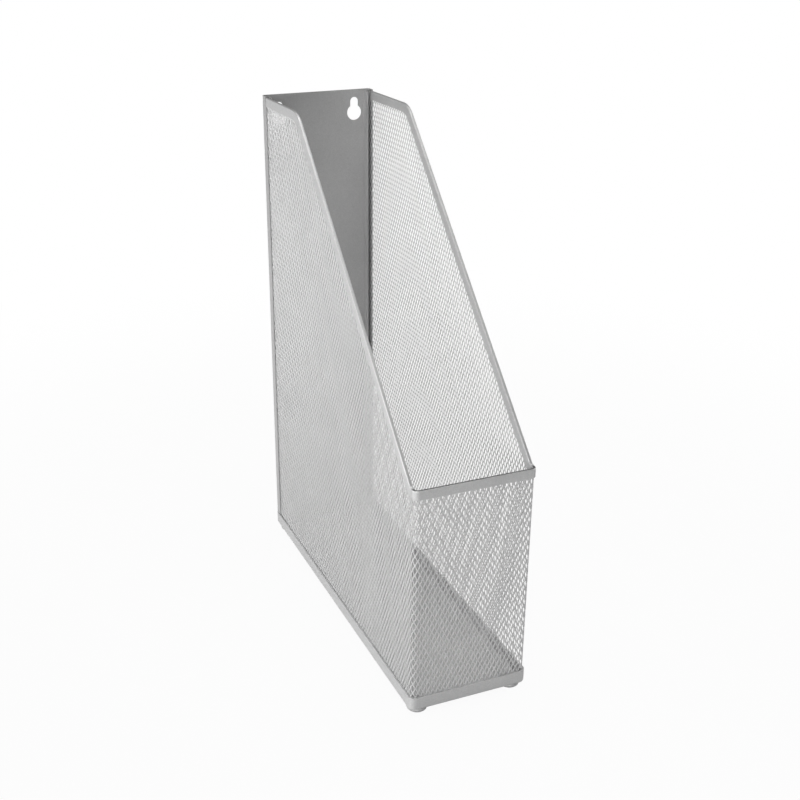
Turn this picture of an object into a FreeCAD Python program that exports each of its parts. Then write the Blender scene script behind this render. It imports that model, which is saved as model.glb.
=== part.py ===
"""Mesh magazine file: a folded steel back with two keyholes, a pressed steel pan with four feet,
expanded-metal sides and front, folded rims over the cut edge of the mesh, and an angle strip inside
each rear corner.

Millimetres, +Z up. The low, open front faces -Y and the tall back faces +Y. The origin is under the
middle of the footprint, on the surface that the feet stand on.
"""
import FreeCAD, Part
import math
import os

import Sketcher

DIMENSIONS = (
    # alias, millimetres, what it measures
    ("overall_width", 75.0, "pan, side to side"),
    ("overall_depth", 242.0, "pan, front to back"),
    ("overall_height", 315.0, "floor to the top of the back"),
    ("front_height", 145.0, "floor to the top of the front rim"),
    ("top_level", 58.5, "pan rear to where the level top of a side starts to bend down"),
    ("rim_drop", 0.8, "top of the back to the level top of a side rim"),
    ("top_bend_radius", 18.0, "rim, outer bend between the level top and the slope"),
    ("front_bend_radius", 3.0, "rim, inner bend between the slope and the level front"),
    ("pan_sheet", 0.9, "thickness of the pan"),
    ("band_height", 8.5, "height of the pan's wall"),
    ("pan_edge_radius", 1.5, "pan, outer bend between floor and wall"),
    ("pan_rear_radius", 2.0, "pan, outer rear corners seen from above"),
    ("foot_height", 3.5, "drop of each pressed foot below the pan"),
    ("foot_diameter", 10.5, "foot, where it leaves the pan"),
    ("foot_pad_diameter", 7.0, "foot, flat face that it stands on"),
    ("foot_root_radius", 0.6, "foot, blend into the pan"),
    ("foot_inset", 7.7, "pan side to the middle of a foot"),
    ("sheet", 0.5, "thickness of the back and the rims"),
    ("mesh_thickness", 1.0, "expanded metal, over its raised strands"),
    ("corner_radius", 3.0, "mesh, outer bend at the two front corners"),
    ("corner_leg", 0.3, "straight part of the front wrap behind each corner bend"),
    ("mesh_lift", 0.7, "pan floor to the lower edge of the mesh"),
    ("mesh_rear_gap", 0.8, "rear edge of the mesh to the plane of the tongue's inner face"),
    ("mesh_margin", 6.5, "mesh, closed margin round each wall's field of openings"),
    ("mesh_bar", 6.5, "mesh, closed bar between two openings side by side"),
    ("rim_height", 5.5, "depth of the folded rim over the mesh"),
    ("rim_edge_radius", 0.6, "rounding along the top of the rims"),
    ("rim_seam", 0.2, "gap between the front rim and each side rim"),
    ("rim_lead", 0.1, "side rim, straight part between that gap and its front bend"),
    ("back_bend_radius", 1.2, "back, outer bend of its side flanges"),
    ("flange_depth", 6.8, "back, depth of its side flanges"),
    ("flange_seam", 0.8, "gap between a side rim and the flange behind it"),
    ("band_seam", 0.2, "gap between the pan's wall and the flanges above it"),
    ("tongue_width", 62.0, "lower end of the back, inside the pan"),
    ("clamp_sheet", 0.6, "thickness of the inner clamp strips"),
    ("clamp_gap", 2.0, "inner face of a side's mesh to the forward leg of its clamp strip"),
    ("clamp_width", 6.0, "reach of that leg, forward from that same plane"),
    ("keyhole_spacing", 52.5, "between the two keyholes"),
    ("keyhole_drop", 15.0, "top of the back to the middle of the round part"),
    ("keyhole_diameter", 10.0, "round part, for the screw's head"),
    ("keyhole_slot_width", 5.5, "slot, for the screw's shank"),
    ("keyhole_slot_rise", 7.25, "middle of the round part to the middle of the slot's end"),
)

SIDE_OPENINGS = (9, 6)  # across and up, in the plain grid that stands for the fine mesh
FRONT_OPENINGS = (2, 3)
PARTS_FOLDER = "parts"
SMALLEST_CHANGE = 1e-6  # mm3, less than any real cut or addition changes a solid's volume

doc = FreeCAD.newDocument("magazine_file")
dims = doc.addObject("Spreadsheet::Sheet", "Dims")
for row, (alias, size, meaning) in enumerate(DIMENSIONS, start=1):
    dims.set(f"A{row}", alias)
    dims.set(f"B{row}", str(size))
    dims.setAlias(f"B{row}", alias)
    dims.set(f"C{row}", meaning)
doc.recompute()

# Places that several pieces share, as expressions over the sheet.
PAN_FRONT = "-Dims.overall_depth / 2"
PAN_REAR = "Dims.overall_depth / 2"
PAN_FLOOR = "Dims.foot_height + Dims.pan_sheet"
BAND_TOP = "Dims.foot_height + Dims.band_height"
MESH_SIDE = "(Dims.overall_width / 2 - Dims.pan_sheet)"
MESH_FRONT = f"({PAN_FRONT} + Dims.pan_sheet)"
MESH_FOOT = f"({PAN_FLOOR} + Dims.mesh_lift)"
BACK_FOOT = f"({BAND_TOP} + Dims.band_seam)"
WRAP_TIP = f"({MESH_FRONT} + Dims.corner_radius + Dims.corner_leg)"
PAN_REAR_INSIDE = f"({PAN_REAR} - Dims.pan_sheet)"
TONGUE_INSIDE = f"({PAN_REAR_INSIDE} - Dims.sheet)"
FLANGE_TIP = f"({PAN_REAR} - Dims.flange_depth)"
TOP_BEND_Y = f"({PAN_REAR} - Dims.top_level)"
SIDE_TOP = "(Dims.overall_height - Dims.rim_drop)"
TOP_BEND_Z = f"({SIDE_TOP} - Dims.top_bend_radius)"
FRONT_BEND_Y = f"({WRAP_TIP} + Dims.rim_seam + Dims.rim_lead)"
FRONT_BEND_Z = "(Dims.front_height + Dims.front_bend_radius)"
BENDS_RUN = f"({TOP_BEND_Y} - {FRONT_BEND_Y})"
BENDS_RISE = f"({TOP_BEND_Z} - {FRONT_BEND_Z})"
BENDS_APART = f"hypot({BENDS_RUN}; {BENDS_RISE})"
BEND_RADII = "(Dims.top_bend_radius + Dims.front_bend_radius)"
SLOPE = f"(atan2({BENDS_RISE}; {BENDS_RUN}) + asin({BEND_RADII} / {BENDS_APART}))"
KEYHOLE_Z = "(Dims.overall_height - Dims.keyhole_drop)"


def value(expression):
    """The number that an expression over the sheet gives."""
    result = dims.evalExpression(expression)
    return float(getattr(result, "Value", result))


def new_body(name):
    body = doc.addObject("PartDesign::Body", name)
    body.Label = name
    return body


def new_sketch(body, name, plane, offset="0"):
    """An empty sketch on one of the body's own planes, moved along that plane's normal by `offset`."""
    sketch = body.newObject("Sketcher::SketchObject", name)
    origin_plane = next(f for f in body.Origin.OriginFeatures if f.Role == plane)
    sketch.AttachmentSupport = [(origin_plane, "")]
    sketch.MapMode = "FlatFace"
    sketch.setExpression("AttachmentOffset.Base.z", offset)
    return sketch


def pin(sketch, geometry, point, where):
    """Holds one point of a sketch at a place (across, up) given as two expressions."""
    for kind, expression in zip(("DistanceX", "DistanceY"), where):
        index = sketch.addConstraint(Sketcher.Constraint(kind, geometry, point, value(expression)))
        sketch.setExpression(f"Constraints[{index}]", expression)


def bend_centre(start, end, radius, turn):
    """Middle of the arc from start to end that turns left (+1) or right (-1) by under half a turn."""
    chord = end - start
    middle = (start + end) / 2
    reach = math.sqrt(max(radius**2 - (chord.Length / 2) ** 2, 0.0))
    sideways = FreeCAD.Vector(-chord.y, chord.x, 0).normalize()
    return middle + sideways * (turn * reach)


def draw_outline(sketch, corners):
    """A closed outline through corners (across, up, bend). The side that starts at a corner is straight
    where its bend is None, and otherwise an arc: bend is then (radius, turn), turn as in bend_centre."""
    places = [FreeCAD.Vector(value(across), value(up), 0) for across, up, _ in corners]
    first_line = len(sketch.Geometry)
    start_points = []
    end_points = []
    for index, (_, _, bend) in enumerate(corners):
        start = places[index]
        end = places[(index + 1) % len(places)]
        if bend is None:
            sketch.addGeometry(Part.LineSegment(start, end), False)
            turn = 1
        else:
            radius, turn = bend
            centre = bend_centre(start, end, value(radius), turn)
            sweep = (start, end) if turn > 0 else (end, start)
            angles = [math.atan2(p.y - centre.y, p.x - centre.x) for p in sweep]
            if angles[1] < angles[0]:
                angles[1] += 2 * math.pi
            circle = Part.Circle(centre, FreeCAD.Vector(0, 0, 1), value(radius))
            sketch.addGeometry(Part.ArcOfCircle(circle, *angles), False)
        start_points.append(1 if turn > 0 else 2)
        end_points.append(2 if turn > 0 else 1)
    for index, (across, up, bend) in enumerate(corners):
        line = first_line + index
        following = (index + 1) % len(corners)
        next_line = first_line + following
        join = Sketcher.Constraint(
            "Coincident", line, end_points[index], next_line, start_points[following]
        )
        sketch.addConstraint(join)
        pin(sketch, line, start_points[index], (across, up))
        if bend is not None:
            number = sketch.addConstraint(Sketcher.Constraint("Radius", line, value(bend[0])))
            sketch.setExpression(f"Constraints[{number}]", bend[0])


def draw_circles(sketch, diameter, centres):
    for centre in centres:
        place = FreeCAD.Vector(value(centre[0]), value(centre[1]), 0)
        circle = Part.Circle(place, FreeCAD.Vector(0, 0, 1), value(diameter) / 2)
        geometry = sketch.addGeometry(circle, False)
        pin(sketch, geometry, 3, centre)
        number = sketch.addConstraint(Sketcher.Constraint("Diameter", geometry, value(diameter)))
        sketch.setExpression(f"Constraints[{number}]", diameter)


def draw_rectangle(sketch, left, low, right, high):
    corners = ((left, low), (right, low), (right, high), (left, high))
    draw_outline(sketch, [(across, up, None) for across, up in corners])


def extrude(kind, body, name, sketch, length, reversed_way=False, taper=None):
    """A Pad or Pocket that must change the body's volume, so that none misses the solid."""
    before = body.Shape.Volume if body.Tip else 0.0
    feature = body.newObject(f"PartDesign::{kind}", name)
    feature.Profile = sketch
    feature.setExpression("Length", length)
    feature.Reversed = reversed_way
    if taper is not None:
        feature.setExpression("TaperAngle", taper)
    doc.recompute()
    change = feature.Shape.Volume - before
    if (change < SMALLEST_CHANGE) if kind == "Pad" else (change > -SMALLEST_CHANGE):
        raise RuntimeError(f"{name} changes the volume of {body.Label} by {change} mm3")
    return feature


def round_edges(body, name, radius, chosen):
    """Rounds the edges of the body's last feature that `chosen` picks by their bounding box."""
    base = body.Tip
    edges = [f"Edge{n}" for n, edge in enumerate(base.Shape.Edges, start=1) if chosen(edge.BoundBox)]
    if not edges:
        raise RuntimeError(f"{name} finds no edge to round on {body.Label}")
    fillet = body.newObject("PartDesign::Fillet", name)
    fillet.Base = (base, edges)
    fillet.setExpression("Radius", radius)
    doc.recompute()
    return fillet


def same(first, second):
    return abs(first - second) < 1e-5


def level_at(height):
    """Picks the edges that lie level at a height."""
    return lambda box: same(box.ZMin, height) and same(box.ZMax, height)


def box_outline(half_width, front, rear, front_radius, rear_radius):
    """A rectangle seen from above, with its front corners and its rear corners rounded."""
    left = f"-({half_width})"
    right = f"({half_width})"
    front_bend = (front_radius, 1)
    rear_bend = (rear_radius, 1)
    return [
        (left, f"{front} + {front_radius}", front_bend),
        (f"{left} + {front_radius}", front, None),
        (f"{right} - {front_radius}", front, front_bend),
        (right, f"{front} + {front_radius}", None),
        (right, f"{rear} - {rear_radius}", rear_bend),
        (f"{right} - {rear_radius}", rear, None),
        (f"{left} + {rear_radius}", rear, rear_bend),
        (left, f"{rear} - {rear_radius}", None),
    ]


def channel_outline(half_width, web, tip, radius, sheet, facing):
    """A bent sheet seen from above: a web across, with a bend and a leg at each end. The outer faces
    are at half_width and at web, and the legs end at tip, toward +Y (facing 1) or -Y (facing -1)."""
    bend_y = f"{web} + {facing} * {radius}"
    inner_y = f"{web} + {facing} * {sheet}"
    inner_radius = f"{radius} - {sheet}"
    middle = f"({half_width} - {radius})"
    inside = f"({half_width} - {sheet})"
    outer = (radius, facing)
    inner = (inner_radius, -facing)
    return [
        (f"-{half_width}", tip, None),
        (f"-{half_width}", bend_y, outer),
        (f"-{middle}", web, None),
        (middle, web, outer),
        (half_width, bend_y, None),
        (half_width, tip, None),
        (inside, tip, None),
        (inside, bend_y, inner),
        (middle, inner_y, None),
        (f"-{middle}", inner_y, inner),
        (f"-{inside}", bend_y, None),
        (f"-{inside}", tip, None),
    ]


def sloping_edge(inset, rear, front, rearward=False):
    """The level top, the slope and the level front, as corners (Y, Z, bend) from rear to front or back
    again, `inset` inside the rim's outer edge."""
    top_radius = f"(Dims.top_bend_radius - {inset})"
    front_radius = f"(Dims.front_bend_radius + {inset})"
    points = [
        (rear, f"{SIDE_TOP} - {inset}"),
        (TOP_BEND_Y, f"{SIDE_TOP} - {inset}"),
        (
            f"{TOP_BEND_Y} - {top_radius} * sin({SLOPE})",
            f"{TOP_BEND_Z} + {top_radius} * cos({SLOPE})",
        ),
        (
            f"{FRONT_BEND_Y} + {front_radius} * sin({SLOPE})",
            f"{FRONT_BEND_Z} - {front_radius} * cos({SLOPE})",
        ),
        (FRONT_BEND_Y, f"Dims.front_height - {inset}"),
        (front, f"Dims.front_height - {inset}"),
    ]
    bends = [None, (top_radius, 1), None, (front_radius, -1), None]
    if rearward:
        points.reverse()
        bends = [None, (front_radius, 1), None, (top_radius, -1), None]
    return [(y, z, bend) for (y, z), bend in zip(points, bends + [None])]


def build_base_pan():
    """The pressed pan: floor, wall all round, and four hollow feet pressed out of the floor."""
    body = new_body("base_pan")
    half_width = "Dims.overall_width / 2"
    inner_front_radius = "Dims.corner_radius"
    outer_front_radius = "(Dims.corner_radius + Dims.pan_sheet)"
    feet = [
        (f"{side} * ({half_width} - Dims.foot_inset)", f"{end} * ({PAN_REAR} - Dims.foot_inset)")
        for side in (-1, 1)
        for end in (-1, 1)
    ]
    foot_taper = "atan((Dims.foot_diameter - Dims.foot_pad_diameter) / 2 / Dims.foot_height)"

    outside = new_sketch(body, "pan_outside", "XY_Plane", "Dims.foot_height")
    rear_radius = "Dims.pan_rear_radius"
    draw_outline(
        outside, box_outline(half_width, PAN_FRONT, PAN_REAR, outer_front_radius, rear_radius)
    )
    extrude("Pad", body, "pan_block", outside, "Dims.band_height")
    underside = value("Dims.foot_height")
    round_edges(body, "pan_lower_edge", "Dims.pan_edge_radius", level_at(underside))

    foot_rings = new_sketch(body, "foot_rings", "XY_Plane", "Dims.foot_height")
    draw_circles(foot_rings, "Dims.foot_diameter", feet)
    extrude("Pad", body, "feet", foot_rings, "Dims.foot_height", True, f"-{foot_taper}")
    foot_size = value("Dims.foot_diameter")
    round_edges(
        body,
        "foot_roots",
        "Dims.foot_root_radius",
        lambda box: level_at(underside)(box) and same(box.XLength, foot_size),
    )
    round_edges(body, "foot_rims", "Dims.pan_sheet", level_at(0.0))

    inside = new_sketch(body, "pan_inside", "XY_Plane", BAND_TOP)
    inner = box_outline(
        MESH_SIDE,
        MESH_FRONT,
        PAN_REAR_INSIDE,
        inner_front_radius,
        "(Dims.pan_rear_radius - Dims.pan_sheet)",
    )
    draw_outline(inside, inner)
    extrude("Pocket", body, "pan_hollow", inside, "Dims.band_height - Dims.pan_sheet")
    floor = value(PAN_FLOOR)
    round_edges(
        body, "pan_inner_edge", "Dims.pan_edge_radius - Dims.pan_sheet", level_at(floor)
    )
    dimples = new_sketch(body, "foot_dimples", "XY_Plane", PAN_FLOOR)
    draw_circles(dimples, "Dims.foot_diameter - Dims.pan_sheet", feet)
    extrude("Pocket", body, "foot_hollows", dimples, "Dims.foot_height", False, f"-{foot_taper}")
    return body


def build_back_panel():
    """The solid back, level with the pan's rear: a sheet with two forward flanges over the mesh's rear
    edges, a tongue stepped in to stand inside the pan, and two keyholes for hanging it on screws."""
    body = new_body("back_panel")
    half_width = f"({MESH_SIDE} + Dims.sheet)"
    section = new_sketch(body, "back_section", "XY_Plane", BACK_FOOT)
    draw_outline(
        section,
        channel_outline(
            half_width, PAN_REAR, FLANGE_TIP, "Dims.back_bend_radius", "Dims.sheet", -1
        ),
    )
    extrude("Pad", body, "back_sheet", section, f"Dims.overall_height - {BACK_FOOT}")

    tongue = new_sketch(body, "back_tongue", "YZ_Plane", "-Dims.tongue_width / 2")
    step_top = f"({BACK_FOOT} + Dims.sheet)"
    tongue_outline = [
        (TONGUE_INSIDE, MESH_FOOT, None),
        (PAN_REAR_INSIDE, MESH_FOOT, None),
        (PAN_REAR_INSIDE, BACK_FOOT, None),
        (PAN_REAR, BACK_FOOT, None),
        (PAN_REAR, step_top, None),
        (TONGUE_INSIDE, step_top, None),
    ]
    draw_outline(tongue, tongue_outline)
    extrude("Pad", body, "tongue", tongue, "Dims.tongue_width")

    half_spacing = "Dims.keyhole_spacing / 2"
    half_slot = "Dims.keyhole_slot_width / 2"
    slot_end = f"({KEYHOLE_Z} + Dims.keyhole_slot_rise)"
    both = (f"-{half_spacing}", half_spacing)
    behind = f"-({PAN_REAR} + Dims.sheet)"
    through = "Dims.sheet * 3"

    heads = new_sketch(body, "keyhole_heads", "XZ_Plane", behind)
    draw_circles(heads, "Dims.keyhole_diameter", [(x, KEYHOLE_Z) for x in both])
    extrude("Pocket", body, "keyhole_rounds", heads, through, True)
    ends = new_sketch(body, "keyhole_ends", "XZ_Plane", behind)
    draw_circles(ends, "Dims.keyhole_slot_width", [(x, slot_end) for x in both])
    extrude("Pocket", body, "keyhole_slot_ends", ends, through, True)
    slots = new_sketch(body, "keyhole_slots", "XZ_Plane", behind)
    for x in both:
        draw_rectangle(slots, f"{x} - {half_slot}", KEYHOLE_Z, f"{x} + {half_slot}", slot_end)
    extrude("Pocket", body, "keyhole_necks", slots, through, True)
    return body


def cut_diamonds(body, name, plane, offset, reversed_way, first, cell, counts):
    """Cuts rows of upright diamonds through a sheet, the middle of the first one at `first`."""
    across, up = first
    pitch, rise = cell
    half_across = f"({pitch} - Dims.mesh_bar) / 2"
    half_up = f"{half_across} * {rise} / {pitch}"
    sketch = new_sketch(body, f"{name}_diamond", plane, offset)
    diamond = [
        (f"{across} - {half_across}", up, None),
        (across, f"{up} - {half_up}", None),
        (f"{across} + {half_across}", up, None),
        (across, f"{up} + {half_up}", None),
    ]
    draw_outline(sketch, diamond)
    through = "Dims.mesh_thickness + 2 * Dims.sheet"
    cut = extrude("Pocket", body, f"{name}_opening", sketch, through, reversed_way)

    pattern = body.newObject("PartDesign::LinearPattern", f"{name}_openings")
    pattern.Originals = [cut]
    pattern.Direction = (sketch, ["H_Axis"])
    pattern.Direction2 = (sketch, ["V_Axis"])
    pattern.Mode = "Spacing"
    pattern.Mode2 = "Spacing"
    pattern.setExpression("Offset", pitch)
    pattern.setExpression("Offset2", rise)
    pattern.Occurrences, pattern.Occurrences2 = counts
    body.Tip = pattern
    doc.recompute()
    if pattern.Shape.Volume > cut.Shape.Volume - SMALLEST_CHANGE:
        raise RuntimeError(f"{name}_openings repeats nothing on {body.Label}")


def open_field(body, name, plane, offset, reversed_way, low, high, counts):
    """Fills the field between two corners (across, up) with staggered diamonds, `counts` across and up.
    Diamonds on the field's edge reach past it by less than the margin, which is then closed again."""
    across, rows = counts
    cell = (f"(({high[0]} - {low[0]}) / {across})", f"(({high[1]} - {low[1]}) / {rows})")
    between = (f"{low[0]} + {cell[0]} / 2", f"{low[1]} + {cell[1]} / 2")
    grids = (("inner", between, (across, rows)), ("edge", low, (across + 1, rows + 1)))
    for grid, first, count in grids:
        cut_diamonds(body, f"{name}_{grid}", plane, offset, reversed_way, first, cell, count)


def build_right_mesh():
    """The expanded-metal right side: a sheet with the true outline and a plain grid of diamond openings
    in place of the fine ones."""
    name = "mesh_right"
    body = new_body(name)
    start = f"{MESH_SIDE} - Dims.mesh_thickness"
    rear = f"({TONGUE_INSIDE} - Dims.mesh_rear_gap)"
    edge = sloping_edge("Dims.sheet", rear, WRAP_TIP)
    outline = edge + [(WRAP_TIP, MESH_FOOT, None), (rear, MESH_FOOT, None)]
    sheet = new_sketch(body, f"{name}_outline", "YZ_Plane", start)
    draw_outline(sheet, outline)
    extrude("Pad", body, f"{name}_sheet", sheet, "Dims.mesh_thickness")

    inset = "(Dims.sheet + Dims.mesh_margin)"
    field_rear = f"({rear} - Dims.mesh_margin)"
    field_front = f"({WRAP_TIP} + Dims.mesh_margin)"
    field_foot = f"({MESH_FOOT} + Dims.mesh_margin)"
    field_top = f"({SIDE_TOP} - {inset})"
    low = (field_front, field_foot)
    high = (field_rear, field_top)
    open_field(body, name, "YZ_Plane", f"{start} - Dims.sheet", True, low, high, SIDE_OPENINGS)

    level_and_bend = sloping_edge(inset, field_rear, field_front)[:3]
    slope_y, slope_z, _ = level_and_bend[-1]
    slope_foot = f"{slope_z} - ({slope_y} - {field_front}) * tan({SLOPE})"
    field = level_and_bend + [
        (field_front, slope_foot, None),
        (field_front, field_foot, None),
        (field_rear, field_foot, None),
    ]
    margin = new_sketch(body, f"{name}_margin_outline", "YZ_Plane", start)
    draw_outline(margin, outline)
    draw_outline(margin, field)
    extrude("Pad", body, f"{name}_margin", margin, "Dims.mesh_thickness")
    return body


def build_left_mesh(right_mesh):
    """The left side, the right one's mirror image."""
    mirror = doc.addObject("Part::Mirroring", "mesh_left")
    mirror.Label = "mesh_left"
    mirror.Source = right_mesh
    mirror.Normal = FreeCAD.Vector(1, 0, 0)
    doc.recompute()
    return mirror


def build_front_mesh():
    """The expanded-metal front with its two corner bends: a bent sheet, with a plain grid of diamond
    openings in its flat part."""
    name = "mesh_front"
    body = new_body(name)
    section = new_sketch(body, f"{name}_section", "XY_Plane", MESH_FOOT)
    outline = channel_outline(
        MESH_SIDE, MESH_FRONT, WRAP_TIP, "Dims.corner_radius", "Dims.mesh_thickness", 1
    )
    draw_outline(section, outline)
    top = "(Dims.front_height - Dims.sheet)"
    extrude("Pad", body, f"{name}_sheet", section, f"{top} - {MESH_FOOT}")

    flat = f"({MESH_SIDE} - Dims.corner_radius)"
    field_side = f"({flat} - Dims.mesh_margin)"
    low = (f"-{field_side}", f"({MESH_FOOT} + Dims.mesh_margin)")
    high = (field_side, f"({top} - Dims.mesh_margin)")
    ahead = f"-({MESH_FRONT} - Dims.sheet)"
    open_field(body, name, "XZ_Plane", ahead, False, low, high, FRONT_OPENINGS)

    margin = new_sketch(body, f"{name}_margin_outline", "XZ_Plane", f"-{MESH_FRONT}")
    draw_rectangle(margin, f"-{flat}", MESH_FOOT, flat, top)
    draw_rectangle(margin, *low, *high)
    extrude("Pad", body, f"{name}_margin", margin, "Dims.mesh_thickness", True)
    return body


def build_side_rim(name, side):
    """The folded rim over one side's top edge: level top, slope and a short level end at the front."""
    body = new_body(name)
    outer_face = f"({MESH_SIDE} + Dims.sheet)"
    inner_face = f"({MESH_SIDE} - Dims.mesh_thickness - Dims.sheet)"
    rear = f"({FLANGE_TIP} - Dims.flange_seam)"
    front = f"({WRAP_TIP} + Dims.rim_seam)"
    start = inner_face if side > 0 else f"-{outer_face}"
    profile = new_sketch(body, f"{name}_profile", "YZ_Plane", start)
    draw_outline(
        profile,
        sloping_edge("0", rear, front) + sloping_edge("Dims.rim_height", rear, front, True),
    )
    extrude("Pad", body, f"{name}_bar", profile, "Dims.mesh_thickness + 2 * Dims.sheet")
    round_rim(body, f"{name}_edges")

    slot = new_sketch(body, f"{name}_slot", "YZ_Plane", f"{start} + Dims.sheet")
    below = "(Dims.rim_height + Dims.sheet)"
    draw_outline(
        slot, sloping_edge("Dims.sheet", rear, front) + sloping_edge(below, rear, front, True)
    )
    extrude("Pocket", body, f"{name}_fold", slot, "Dims.mesh_thickness", True)
    return body


def round_rim(body, name):
    """Rounds the two long upper edges of a side rim's bar: those that reach higher than any edge of
    its underside does at the same place."""
    faces = [body.Shape.BoundBox.XMin, body.Shape.BoundBox.XMax]
    slope = math.radians(value(SLOPE))
    drop = value("Dims.rim_height") / 2 / math.cos(slope)
    low = value("Dims.front_height")
    high = value(SIDE_TOP)
    slope_foot = value(f"{FRONT_BEND_Y} + Dims.front_bend_radius * tan({SLOPE} / 2)")

    def upper(box):
        if not (same(box.XMin, box.XMax) and any(same(box.XMin, face) for face in faces)):
            return False
        if same(box.YMin, box.YMax):
            return False
        rim_top = low + (box.Center.y - slope_foot) * math.tan(slope)
        return box.Center.z > min(max(rim_top, low), high) - drop

    round_edges(body, name, "Dims.rim_edge_radius", upper)


def build_front_rim():
    """The folded rim over the front's top edge, bent round both front corners."""
    body = new_body("rim_front")
    half_width = f"({MESH_SIDE} + Dims.sheet)"
    face = f"({MESH_FRONT} - Dims.sheet)"
    bend = "(Dims.corner_radius + Dims.sheet)"
    thickness = "(Dims.mesh_thickness + 2 * Dims.sheet)"
    low = "(Dims.front_height - Dims.rim_height)"
    section = new_sketch(body, "rim_front_section", "XY_Plane", low)
    draw_outline(section, channel_outline(half_width, face, WRAP_TIP, bend, thickness, 1))
    extrude("Pad", body, "rim_front_bar", section, "Dims.rim_height")
    top = value("Dims.front_height")
    tip = value(WRAP_TIP)
    round_edges(
        body,
        "rim_front_edges",
        "Dims.rim_edge_radius",
        lambda box: level_at(top)(box) and not (same(box.YMin, tip) and same(box.YMax, tip)),
    )
    slot = new_sketch(body, "rim_front_slot", "XY_Plane", low)
    outline = channel_outline(
        MESH_SIDE, MESH_FRONT, WRAP_TIP, "Dims.corner_radius", "Dims.mesh_thickness", 1
    )
    draw_outline(slot, outline)
    extrude("Pocket", body, "rim_front_fold", slot, "Dims.rim_height - Dims.sheet", True)
    return body


def build_clamp_strip(name, side):
    """The angle strip inside a rear corner, welded to the back. Its forward leg stands clear of the mesh,
    and the rear edge of the mesh lies in the slot between that leg and the back's flange."""
    body = new_body(name)
    mesh_inside = f"({MESH_SIDE} - Dims.mesh_thickness)"
    leg_outside = f"({mesh_inside} - Dims.clamp_gap)"
    leg_inside = f"({leg_outside} - Dims.clamp_sheet)"
    leg_tip = f"({TONGUE_INSIDE} - Dims.clamp_width)"
    seat = f"({PAN_REAR} - Dims.sheet)"
    seat_front = f"({seat} - Dims.clamp_sheet)"
    corners = (
        (leg_inside, leg_tip),
        (leg_outside, leg_tip),
        (leg_outside, seat_front),
        (mesh_inside, seat_front),
        (mesh_inside, seat),
        (leg_inside, seat),
    )
    section = new_sketch(body, f"{name}_section", "XY_Plane", BACK_FOOT)
    draw_outline(section, [(f"{side} * {across}", up, None) for across, up in corners])
    extrude("Pad", body, f"{name}_angle", section, f"{SIDE_TOP} - Dims.sheet - {BACK_FOOT}")
    return body


mesh_right = build_right_mesh()
pieces = [build_base_pan(), build_back_panel(), build_front_mesh(), build_front_rim()]
pieces += [build_left_mesh(mesh_right), mesh_right]
for side_name, side_sign in (("left", -1), ("right", 1)):
    pieces.append(build_side_rim(f"rim_{side_name}", side_sign))
    pieces.append(build_clamp_strip(f"clamp_strip_{side_name}", side_sign))

doc.recompute()
for item in doc.Objects:
    if "Invalid" in item.State or "Error" in item.State:
        raise RuntimeError(f"{item.Label} failed: {item.State}")
for piece in pieces:
    if piece.Shape.isNull() or not piece.Shape.isValid() or len(piece.Shape.Solids) != 1:
        raise RuntimeError(f"{piece.Label} is not one valid solid")

os.makedirs(PARTS_FOLDER, exist_ok=True)
for piece in pieces:
    piece.Shape.exportStep(os.path.join(PARTS_FOLDER, f"{piece.Label}.step"))
    print(f"{piece.Label}: {piece.Shape.Volume / 1000:.2f} cm3")
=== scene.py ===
"""Mesh magazine file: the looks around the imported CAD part.

Metres, +Z up, the low open front faces -Y. The sheet pieces are the CAD nodes with new paint. The three
expanded-metal walls are built here strand by strand and stand for the plain CAD sheets. Four rounded feet
are fitted round the pan's own.
"""
import math

import bpy
import numpy as np
from mathutils import Matrix, Vector


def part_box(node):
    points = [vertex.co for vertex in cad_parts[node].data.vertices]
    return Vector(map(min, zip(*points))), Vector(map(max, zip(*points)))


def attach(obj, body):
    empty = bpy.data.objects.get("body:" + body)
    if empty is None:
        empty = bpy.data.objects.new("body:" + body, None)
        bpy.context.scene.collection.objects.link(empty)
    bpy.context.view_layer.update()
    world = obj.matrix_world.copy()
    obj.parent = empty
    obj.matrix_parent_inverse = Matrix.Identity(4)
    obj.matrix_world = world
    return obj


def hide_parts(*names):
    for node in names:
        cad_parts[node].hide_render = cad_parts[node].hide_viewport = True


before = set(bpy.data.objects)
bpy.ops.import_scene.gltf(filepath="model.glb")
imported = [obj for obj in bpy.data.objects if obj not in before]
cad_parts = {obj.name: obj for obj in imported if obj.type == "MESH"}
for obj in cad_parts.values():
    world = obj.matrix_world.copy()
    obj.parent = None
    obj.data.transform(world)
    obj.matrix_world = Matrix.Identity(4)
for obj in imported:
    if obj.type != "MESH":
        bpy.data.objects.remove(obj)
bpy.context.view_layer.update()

MM = 0.001

# Expanded metal, in millimetres: the diamonds stand on their points.
DIAMOND_WIDTH = 3.15
DIAMOND_HEIGHT = 6.0
BOND_LENGTH = 0.9
STRAND_SHEET = 0.40
# How far the strands of each wall lean out of its plane, and how wide they are.
LEFT_WEAVE = (math.radians(2), 0.70)
FRONT_WEAVE = (math.radians(3), 0.64)
RIGHT_WEAVE = (math.radians(18), 0.68)
MESH_THICKNESS = 1.0
CORNER_RADIUS = 3.0

# Rims, in millimetres: the line of a side's top edge.
TOP_BEND_Y = 62.5
TOP_BEND_RADIUS = 18.0
FRONT_BEND_RADIUS = 3.0
RIM_SHEET = 0.5
RIM_LEAD = 0.1

# The least length of a strand's first and last stretch, in millimetres.
SHORTEST_STRETCH = 0.05


def node_box(name):
    """A CAD node's lowest and highest corner in millimetres."""
    low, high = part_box(name)
    return np.array(low) / MM, np.array(high) / MM


SIDE_LOW, SIDE_HIGH = node_box("mesh_right")
FRONT_LOW, FRONT_HIGH = node_box("mesh_front")
RIM_LOW, RIM_HIGH = node_box("rim_right")
FRONT_RIM_TOP = node_box("rim_front")[1][2]


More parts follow.
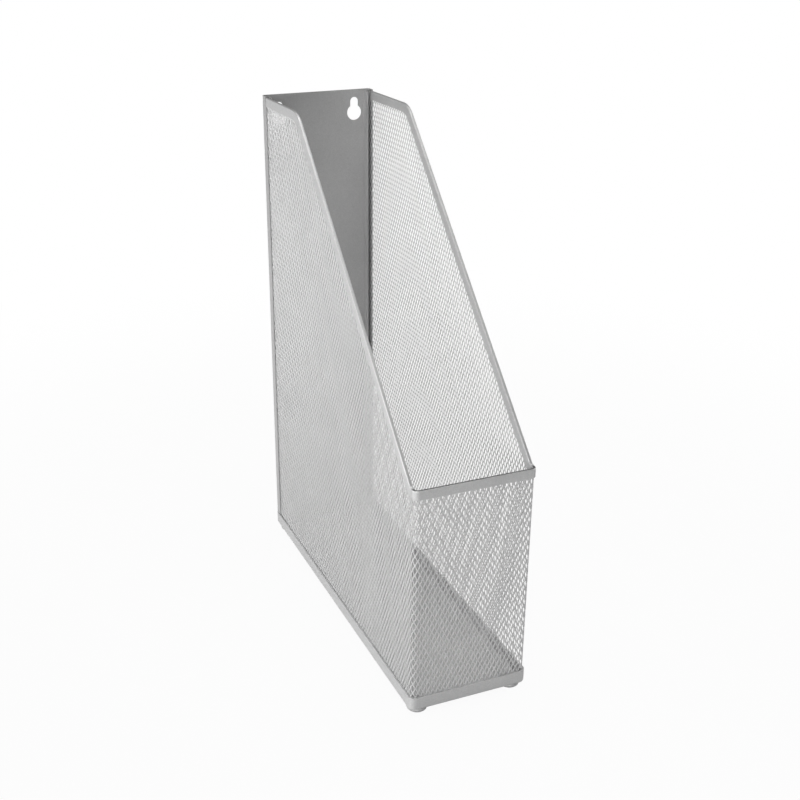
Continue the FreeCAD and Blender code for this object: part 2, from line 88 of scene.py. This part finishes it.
def principled(name):
    material = bpy.data.materials.new(name)
    material.use_nodes = True
    tree = material.node_tree
    return material, tree, tree.nodes["Principled BSDF"]


def add_node(tree, kind, **settings):
    node = tree.nodes.new(kind)
    for key, setting in settings.items():
        if hasattr(node, key) and key not in node.inputs:
            setattr(node, key, setting)
        else:
            node.inputs[key].default_value = setting
    return node


def ramp_node(tree, source, stops):
    node = tree.nodes.new("ShaderNodeValToRGB")
    ramp = node.color_ramp
    while len(ramp.elements) < len(stops):
        ramp.elements.new(0.5)
    for element, (place, grey) in zip(ramp.elements, stops):
        element.position = place
        element.color = (grey, grey, grey, 1)
    tree.links.new(source, node.inputs["Fac"])
    return node


# Powder coat: how many of each texture's cells lie along a metre, and the greys that each one gives.
MOTTLE_SCALE = 28.0
FLAKE_SCALE = 3200.0
GRAIN_SCALE = 900.0
PEEL_SCALE = 520.0
MOTTLE_RANGE = (0.97, 1.03)
FLAKE_STOPS = [(0.0, 0.90), (0.75, 1.0), (1.0, 1.10)]
GRAIN_STOPS = [(0.30, 0.95), (0.70, 1.04)]
ROUGHNESS_STOPS = [(0.25, 0.36), (0.75, 0.50)]
PEEL_DEPTH = 0.00008
METALLIC = 0.45
IOR = 1.5
# Ramp width over which the painted shade on up-facing faces sets in.
TOP_SHADE_FADE = 0.1


def powder_coat(name, tone, peel=0.35, edge=1.0, upright=0.80):
    """Satin silver-grey powder coat: fine flake, faint mottling, orange peel. A factor below 1 dims the
    faces that look up, by more than `upright`: painted shade that darkens the tops of the rims."""
    material, tree, shader = principled(name)
    link = tree.links.new
    place = tree.nodes.new("ShaderNodeTexCoord").outputs["Object"]

    mottle = add_node(tree, "ShaderNodeTexNoise", Scale=MOTTLE_SCALE, Detail=3.0, Roughness=0.55)
    flake = add_node(tree, "ShaderNodeTexVoronoi", feature="F1", Scale=FLAKE_SCALE)
    grain = add_node(tree, "ShaderNodeTexNoise", Scale=GRAIN_SCALE, Detail=2.0, Roughness=0.6)
    orange = add_node(tree, "ShaderNodeTexNoise", Scale=PEEL_SCALE, Detail=1.5, Roughness=0.45)
    for texture in (mottle, flake, grain, orange):
        link(place, texture.inputs["Vector"])

    dark, pale = (tone * share for share in MOTTLE_RANGE)
    base = ramp_node(tree, mottle.outputs["Fac"], [(0.30, dark), (0.70, pale)])
    speck = ramp_node(tree, flake.outputs["Color"], FLAKE_STOPS)
    dust = ramp_node(tree, grain.outputs["Fac"], GRAIN_STOPS)
    first = add_node(tree, "ShaderNodeMixRGB", blend_type="MULTIPLY", Fac=1.0)
    second = add_node(tree, "ShaderNodeMixRGB", blend_type="MULTIPLY", Fac=1.0)
    link(base.outputs["Color"], first.inputs["Color1"])
    link(speck.outputs["Color"], first.inputs["Color2"])
    link(first.outputs["Color"], second.inputs["Color1"])
    link(dust.outputs["Color"], second.inputs["Color2"])
    # Painted shade: a third multiply dims the faces that look up, by more than `upright`.
    third = add_node(tree, "ShaderNodeMixRGB", blend_type="MULTIPLY", Fac=1.0)
    facing = tree.nodes.new("ShaderNodeSeparateXYZ")
    link(tree.nodes.new("ShaderNodeNewGeometry").outputs["True Normal"], facing.inputs[0])
    painted_top_shade = ramp_node(tree, facing.outputs["Z"], [(upright, 1.0), (upright + TOP_SHADE_FADE, edge)])
    link(second.outputs["Color"], third.inputs["Color1"])
    link(painted_top_shade.outputs["Color"], third.inputs["Color2"])
    link(third.outputs["Color"], shader.inputs["Base Color"])

    rough = ramp_node(tree, grain.outputs["Fac"], ROUGHNESS_STOPS)
    link(rough.outputs["Color"], shader.inputs["Roughness"])
    bump = add_node(tree, "ShaderNodeBump", Strength=peel, Distance=PEEL_DEPTH)
    link(orange.outputs["Fac"], bump.inputs["Height"])
    link(bump.outputs["Normal"], shader.inputs["Normal"])
    shader.inputs["Metallic"].default_value = METALLIC
    shader.inputs["IOR"].default_value = IOR
    return material


# One silver-grey powder coat on every part. Its grey differs from part to part as painted light and
# shade: the back panel is darker, and the pan, rims and mesh are lighter, than the plain sheet.
SHEET_PAINT = powder_coat("painted_sheet", 0.60)
MESH_PAINT = powder_coat("painted_mesh", 0.70, peel=0.2)

BACK_PAINT = powder_coat("painted_back", 0.56)
PAN_PAINT = powder_coat("painted_pan", 0.67)
# Painted shade on the rims: their up-facing faces are dimmed, to 0.30 on the front rim and 0.72 on the
# sides.
FRONT_RIM_PAINT = powder_coat("painted_front_rim", 0.67, edge=0.30)
SIDE_RIM_PAINT = powder_coat("painted_side_rim", 0.68, edge=0.72, upright=0.55)
NODE_PAINT = {
    "back_panel": BACK_PAINT,
    "base_pan": PAN_PAINT,
    "mesh_left": MESH_PAINT,
    "mesh_front": MESH_PAINT,
    "mesh_right": MESH_PAINT,
    "rim_front": FRONT_RIM_PAINT,
    "rim_left": SIDE_RIM_PAINT,
    "rim_right": SIDE_RIM_PAINT,
}

for node_name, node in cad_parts.items():
    node.data.materials.clear()
    node.data.materials.append(NODE_PAINT.get(node_name, SHEET_PAINT))


class Path:
    """The middle of the mesh seen from above, unrolled: from the left side's rear edge forward, round
    the front and back along the right side. Strands are counted along it."""

    def __init__(self):
        half = MESH_THICKNESS / 2
        self.side_x = SIDE_HIGH[0] - half
        self.front_y = FRONT_LOW[1] + half
        self.rear_y = SIDE_HIGH[1]
        self.radius = CORNER_RADIUS - half
        self.bend_x = self.side_x - self.radius
        self.bend_y = self.front_y + self.radius
        self.side = self.rear_y - self.bend_y
        self.arc = self.radius * math.pi / 2
        self.front = 2 * self.bend_x
        self.length = 2 * self.side + 2 * self.arc + self.front

    def place(self, along, out):
        """Places (x, y) at distances along the path, moved outward."""
        middle = along - self.length / 2
        side = np.where(middle < 0, -1.0, 1.0)
        reach = np.abs(middle)
        on_front = reach <= self.front / 2
        turned = np.clip((reach - self.front / 2) / self.arc, 0, 1) * math.pi / 2
        bend = self.radius + out
        back = np.maximum(reach - self.front / 2 - self.arc, 0)
        x = np.where(on_front, reach, self.bend_x + bend * np.sin(turned))
        y = np.where(on_front, self.front_y - out, self.bend_y - bend * np.cos(turned) + back)
        return x * side, y


PATH = Path()


def side_top(y):
    """Height of the mesh's upper edge on a side, RIM_SHEET under the rim's own line."""
    top_y, top_z = TOP_BEND_Y, RIM_HIGH[2] - TOP_BEND_RADIUS
    low_y, low_z = RIM_LOW[1] + RIM_LEAD, FRONT_RIM_TOP + FRONT_BEND_RADIUS
    run, rise = top_y - low_y, top_z - low_z
    apart = math.hypot(run, rise)
    slope = math.atan2(rise, run) + math.asin((TOP_BEND_RADIUS + FRONT_BEND_RADIUS) / apart)
    top_r = TOP_BEND_RADIUS - RIM_SHEET
    low_r = FRONT_BEND_RADIUS + RIM_SHEET
    slope_top = top_y - top_r * math.sin(slope)
    slope_low = low_y + low_r * math.sin(slope)
    foot = low_z - low_r * math.cos(slope)
    z = foot + (y - slope_low) * math.tan(slope)
    over_top = np.sqrt(np.maximum(top_r**2 - (y - top_y) ** 2, 0)) + top_z
    z = np.where(y > slope_top, np.where(y > top_y, top_z + top_r, over_top), z)
    under = low_z - np.sqrt(np.maximum(low_r**2 - (y - low_y) ** 2, 0))
    return np.where(y < slope_low, np.where(y < low_y, low_z - low_r, under), z)


STRANDS = round(PATH.length / (DIAMOND_WIDTH / 2))
PITCH = PATH.length / STRANDS


def strand(index, low, high, weave):
    """Sections of one strand from `low` to `high`: (N, 4, 2) offsets (along, out) and N heights, and
    which side of each stretch is joined to a neighbour (-1 left, 1 right, 0 none)."""
    tilt, width = weave
    half_width = width / 2
    sway = PITCH / 2 - half_width * math.cos(tilt)
    lift = half_width * math.sin(tilt)
    half_period = DIAMOND_HEIGHT / 2
    heights = []
    sides = []
    first = math.floor(low / half_period) - 1
    last = math.ceil(high / half_period) + 1
    for step in range(first, last + 1):
        side = -1 if (step + index) % 2 == 0 else 1
        middle = step * half_period
        heights += [middle - BOND_LENGTH / 2, middle + BOND_LENGTH / 2]
        sides += [side, side]
    heights = np.array(heights)
    sides = np.array(sides, float)
    inner = (heights > low + SHORTEST_STRETCH) & (heights < high - SHORTEST_STRETCH)
    cut = np.concatenate([[low], heights[inner], [high]])
    swing = np.interp(cut, heights, sides)
    joined = []
    for a, b in zip(cut[:-1], cut[1:]):
        middle = (a + b) / 2
        nearest = round(middle / half_period)
        flat = abs(middle - nearest * half_period) < BOND_LENGTH / 2
        joined.append((-1 if (nearest + index) % 2 == 0 else 1) if flat else 0)
    across = np.array([math.cos(tilt), math.sin(tilt)])
    through = np.array([-math.sin(tilt), math.cos(tilt)])
    corners = np.array(
        [
            -half_width * across - STRAND_SHEET / 2 * through,
            half_width * across - STRAND_SHEET / 2 * through,
            half_width * across + STRAND_SHEET / 2 * through,
            -half_width * across + STRAND_SHEET / 2 * through,
        ]
    )
    centres = np.stack([swing * sway, -swing * lift], axis=1)
    return centres[:, None, :] + corners[None, :, :], cut, joined


def build_mesh(name, first, last, low, top_of, weave):
    """One wall of expanded metal, from strand `first` up to but without strand `last`."""
    points = []
    quads = []
    count = 0
    for index in range(first, last):
        along = (index + 0.5) * PITCH
        _, y = PATH.place(np.array([along - PITCH / 2, along + PITCH / 2]), np.zeros(2))
        offsets, heights, joined = strand(index, low, float(np.min(top_of(y))), weave)
        x, y = PATH.place(along + offsets[:, :, 0], offsets[:, :, 1])
        z = np.repeat(heights[:, None], 4, axis=1)
        points.append(np.stack([x, y, z], axis=2).reshape(-1, 3))
        sections = len(heights)
        for part in range(sections - 1):
            base = count + 4 * part
            for side in range(4):
                if (side == 1 and joined[part] == 1) or (side == 3 and joined[part] == -1):
                    continue
                following = (side + 1) % 4
                quads.append((base + side, base + 4 + side, base + 4 + following, base + following))
        quads.append((count, count + 1, count + 2, count + 3))
        end = count + 4 * (sections - 1)
        quads.append((end + 3, end + 2, end + 1, end))
        count += 4 * sections
    points = np.concatenate(points) * MM
    mesh = bpy.data.meshes.new(name)
    mesh.vertices.add(len(points))
    mesh.vertices.foreach_set("co", points.astype(np.float32).ravel())
    quads = np.array(quads, np.int32)
    mesh.loops.add(quads.size)
    mesh.loops.foreach_set("vertex_index", quads.ravel())
    mesh.polygons.add(len(quads))
    mesh.polygons.foreach_set("loop_start", np.arange(0, quads.size, 4, dtype=np.int32))
    mesh.update(calc_edges=True)
    mesh.validate()
    mesh.materials.append(MESH_PAINT)
    piece = bpy.data.objects.new(name, mesh)
    bpy.context.collection.objects.link(piece)
    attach(piece, "root")
    return piece


split_reach = PATH.side - (FRONT_HIGH[1] - PATH.bend_y)
left_strands = round(split_reach / PITCH)
right_strands = STRANDS - left_strands
mesh_foot = SIDE_LOW[2]
front_top = FRONT_HIGH[2]

left_wall = build_mesh("expanded_left", 0, left_strands, mesh_foot, side_top, LEFT_WEAVE)
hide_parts("mesh_left")
front_wall = build_mesh(
    "expanded_front",
    left_strands,
    right_strands,
    mesh_foot,
    lambda y: np.full_like(y, front_top),
    FRONT_WEAVE,
)
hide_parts("mesh_front")
right_wall = build_mesh("expanded_right", right_strands, STRANDS, mesh_foot, side_top, RIGHT_WEAVE)
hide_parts("mesh_right")


# Feet: the rounded pressing round each of the pan's feet, from its middle outward, in millimetres.
FOOT_PLACE = (30.2, 113.6)
FOOT_OUTLINE = ((4.6, 0.0), (5.3, 0.2), (5.9, 0.8), (6.2, 1.7), (6.3, 3.45))
FOOT_TURNS = 64


def make_foot(name, across, along):
    """A closed round foot at (across, along), turned from FOOT_OUTLINE."""
    corners = []
    for reach, height in FOOT_OUTLINE:
        for step in range(FOOT_TURNS):
            angle = 2 * math.pi * step / FOOT_TURNS
            x, y = across + reach * math.cos(angle), along + reach * math.sin(angle)
            corners.append((x * MM, y * MM, height * MM))
    faces = [tuple(reversed(range(FOOT_TURNS)))]
    for ring in range(len(FOOT_OUTLINE) - 1):
        for step in range(FOOT_TURNS):
            a, b = ring * FOOT_TURNS + step, ring * FOOT_TURNS + (step + 1) % FOOT_TURNS
            faces.append((a, b, b + FOOT_TURNS, a + FOOT_TURNS))
    faces.append(tuple(range(len(corners) - FOOT_TURNS, len(corners))))
    mesh = bpy.data.meshes.new(name)
    mesh.from_pydata(corners, [], faces)
    for face in mesh.polygons:
        face.use_smooth = len(face.vertices) == 4
    mesh.materials.append(PAN_PAINT)
    foot = bpy.data.objects.new(name, mesh)
    bpy.context.collection.objects.link(foot)
    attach(foot, "root")


for end, sign_y in (("front", -1), ("rear", 1)):
    for hand, sign_x in (("left", -1), ("right", 1)):
        make_foot(f"foot_{end}_{hand}", sign_x * FOOT_PLACE[0], sign_y * FOOT_PLACE[1])


# Floor and light.
FLOOR_SIZE = 30
FLOOR_GRAIN_SCALE = 40.0
FLOOR_STOPS = [(0.3, 0.58), (0.7, 0.62)]
FLOOR_WHITE = 0.95
FADE_START = 0.25
FADE_END = 0.75


def camera_ray(tree):
    return tree.nodes.new("ShaderNodeLightPath").outputs["Is Camera Ray"]


def make_floor():
    """A pale floor that keeps a faint contact shadow and turns plain white away from the part."""
    bpy.ops.mesh.primitive_plane_add(size=FLOOR_SIZE, location=(0, 0, 0))
    floor = bpy.context.object
    floor.name = "floor"
    material = bpy.data.materials.new("floor")
    material.use_nodes = True
    tree = material.node_tree
    link = tree.links.new
    tree.nodes.clear()
    out = tree.nodes.new("ShaderNodeOutputMaterial")
    paper = tree.nodes.new("ShaderNodeBsdfDiffuse")
    white = add_node(tree, "ShaderNodeEmission", Color=(1, 1, 1, 1), Strength=1.0)
    place = tree.nodes.new("ShaderNodeTexCoord").outputs["Object"]
    grain = add_node(tree, "ShaderNodeTexNoise", Scale=FLOOR_GRAIN_SCALE, Detail=3.0)
    tone = ramp_node(tree, grain.outputs["Fac"], FLOOR_STOPS)
    reach = add_node(tree, "ShaderNodeVectorMath", operation="LENGTH")
    fade = add_node(tree, "ShaderNodeMapRange", interpolation_type="SMOOTHSTEP")
    fade.inputs["From Min"].default_value = FADE_START
    fade.inputs["From Max"].default_value = FADE_END
    fade.inputs["To Min"].default_value = FLOOR_WHITE
    fade.inputs["To Max"].default_value = 1.0
    weight = add_node(tree, "ShaderNodeMath", operation="MULTIPLY")
    mix = tree.nodes.new("ShaderNodeMixShader")
    link(place, grain.inputs["Vector"])
    link(tone.outputs["Color"], paper.inputs["Color"])
    link(place, reach.inputs[0])
    link(reach.outputs["Value"], fade.inputs["Value"])
    link(fade.outputs["Result"], weight.inputs[0])
    link(camera_ray(tree), weight.inputs[1])
    link(weight.outputs[0], mix.inputs["Fac"])
    link(paper.outputs[0], mix.inputs[1])
    link(white.outputs[0], mix.inputs[2])
    link(mix.outputs[0], out.inputs["Surface"])
    floor.data.materials.append(material)


AMBIENT = 0.02


def make_world():
    world = bpy.data.worlds.new("studio")
    bpy.context.scene.world = world
    world.use_nodes = True
    tree = world.node_tree
    link = tree.links.new
    tree.nodes.clear()
    out = tree.nodes.new("ShaderNodeOutputWorld")
    ambient = add_node(tree, "ShaderNodeBackground", Color=(1, 1, 1, 1), Strength=AMBIENT)
    white = add_node(tree, "ShaderNodeBackground", Color=(1, 1, 1, 1), Strength=1.0)
    mix = tree.nodes.new("ShaderNodeMixShader")
    link(camera_ray(tree), mix.inputs["Fac"])
    link(ambient.outputs[0], mix.inputs[1])
    link(white.outputs[0], mix.inputs[2])
    link(mix.outputs[0], out.inputs["Surface"])


# Soft boxes: name, place and size in metres, power in watts. All look at LAMP_TARGET.
LAMP_TARGET = (0, 0, 0.15)
LAMPS = (
    ("left_box", (-1.8, 0.3, 0.2), (1.0, 0.35), 19),
    ("front_left_box", (-1.5, -1.2, 0.25), (1.0, 0.4), 12),
    ("front_fill", (-0.9, -2.0, 0.5), (1.2, 0.7), 8),
    ("right_box", (1.8, 0.2, 0.6), (1.2, 1.0), 14),
    ("top_box", (0, 0, 2.2), (1.5, 1.5), 35),
)


def make_lamp(name, place, target, size, power):
    """A soft box: `size` is its width and height in metres, `power` in watts."""
    light = bpy.data.lights.new(name, "AREA")
    light.shape = "RECTANGLE"
    light.size, light.size_y = size
    light.energy = power
    lamp = bpy.data.objects.new(name, light)
    lamp.location = place
    lamp.rotation_euler = (Vector(target) - Vector(place)).to_track_quat("-Z", "Y").to_euler()
    bpy.context.collection.objects.link(lamp)


make_floor()
make_world()

for lamp_name, lamp_place, lamp_size, lamp_power in LAMPS:
    make_lamp(lamp_name, lamp_place, LAMP_TARGET, lamp_size, lamp_power)


# Camera.
CAMERA_AZIMUTH = math.radians(21.864)
CAMERA_FALL = math.radians(23.615)
CAMERA_ROLL = math.radians(-0.270)
CAMERA_PLACE = (-0.264715, -0.609382, 0.429381)
CAMERA_LENS = 52.204
CAMERA_SENSOR = 36
CAMERA_CLIP = (0.01, 100)
CAMERA_SHIFT = (0.0522, 0.0090)


def make_camera():
    look = Vector(
        (
            math.sin(CAMERA_AZIMUTH) * math.cos(CAMERA_FALL),
            math.cos(CAMERA_AZIMUTH) * math.cos(CAMERA_FALL),
            -math.sin(CAMERA_FALL),
        )
    )
    right = Vector((math.cos(CAMERA_AZIMUTH), -math.sin(CAMERA_AZIMUTH), 0))
    up = right.cross(look)
    across = math.cos(CAMERA_ROLL) * right + math.sin(CAMERA_ROLL) * up
    over = math.cos(CAMERA_ROLL) * up - math.sin(CAMERA_ROLL) * right
    turn = Matrix((across, over, -look)).transposed()
    data = bpy.data.cameras.new("camera")
    data.lens = CAMERA_LENS
    data.sensor_width = CAMERA_SENSOR
    data.shift_x, data.shift_y = CAMERA_SHIFT
    data.clip_start, data.clip_end = CAMERA_CLIP
    camera = bpy.data.objects.new("camera", data)
    camera.matrix_world = Matrix.Translation(CAMERA_PLACE) @ turn.to_4x4()
    bpy.context.collection.objects.link(camera)
    bpy.context.scene.camera = camera


make_camera()
bpy.context.scene.view_settings.view_transform = "Standard"
